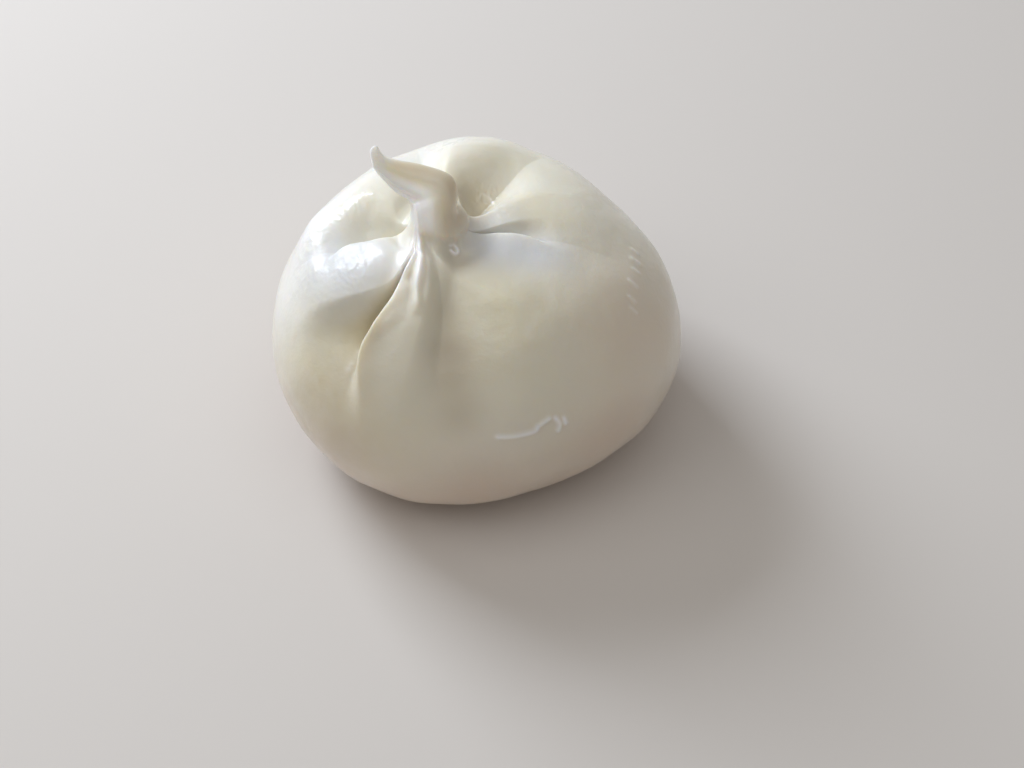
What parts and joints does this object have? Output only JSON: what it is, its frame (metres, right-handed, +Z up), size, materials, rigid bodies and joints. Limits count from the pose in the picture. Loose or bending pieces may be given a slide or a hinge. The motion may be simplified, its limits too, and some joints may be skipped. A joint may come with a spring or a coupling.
{
  "type": "burrata",
  "caption": "Whole burrata: a squat, uneven lump of soft white cheese, its skin gathered on top into folds and a short twisted neck with a bent tail",
  "frame": {"origin": "on the surface it rests on, under the middle of the lump's bounding box", "axes": "+Z up, the neck's tail points to -X, +X is the longest extent, -Y is the side with the front folds"},
  "size_m": [0.0916, 0.0874, 0.0772],
  "materials": {
    "skin": "wet, softly glossy, slightly translucent cream-white cheese skin"
  },
  "bodies": {
    "root": {"burrata": "skin"}
  },
  "joints": []
}
